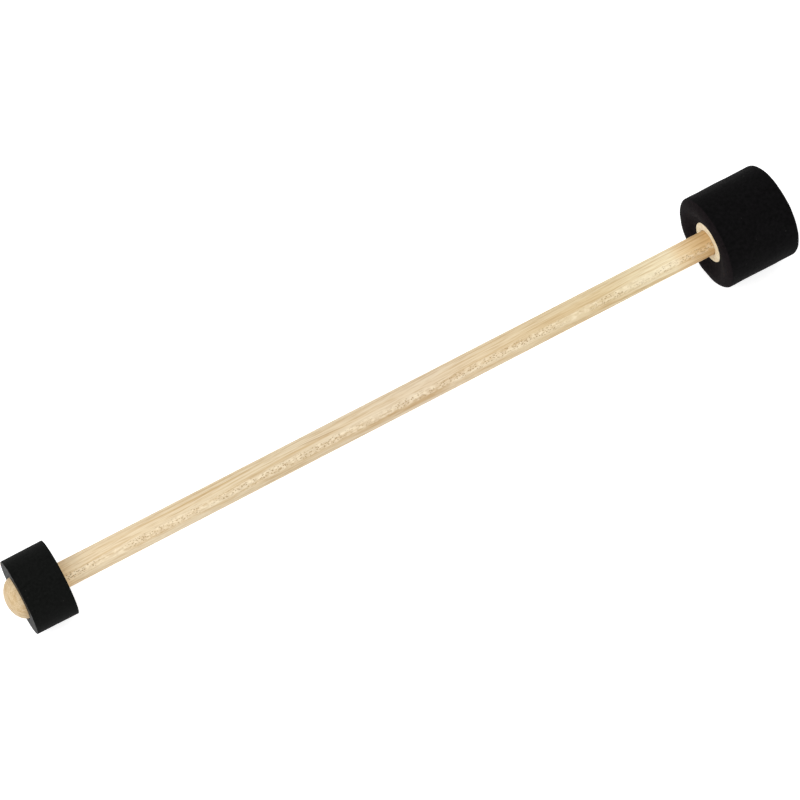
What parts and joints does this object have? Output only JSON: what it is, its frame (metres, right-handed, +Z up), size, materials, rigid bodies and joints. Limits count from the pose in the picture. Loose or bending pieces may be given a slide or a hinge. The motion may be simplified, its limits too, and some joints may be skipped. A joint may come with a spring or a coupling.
{
  "type": "cajon mallet",
  "caption": "Two-ended hand mallet: wooden shaft with a large soft foam head at one end and a small firm foam ring round a domed wooden tip at the other.",
  "frame": {"origin": "on the shaft's axis at the middle of the mallet's whole length", "axes": "+X along the shaft towards the large foam head, +Z up as the mallet lies on its side"},
  "size_m": [0.3936, 0.045, 0.045],
  "materials": {
    "shaft_wood": "sanded, thin clear coat",
    "core_wood": "turned and sanded, thin clear coat",
    "soft_foam": "matt open-cell foam",
    "firm_foam": "matt closed-cell foam"
  },
  "bodies": {
    "root": {"shaft": "shaft_wood", "large_core": "core_wood", "domed_tip": "core_wood", "large_foam_head": "soft_foam", "small_foam_ring": "firm_foam"}
  },
  "joints": []
}
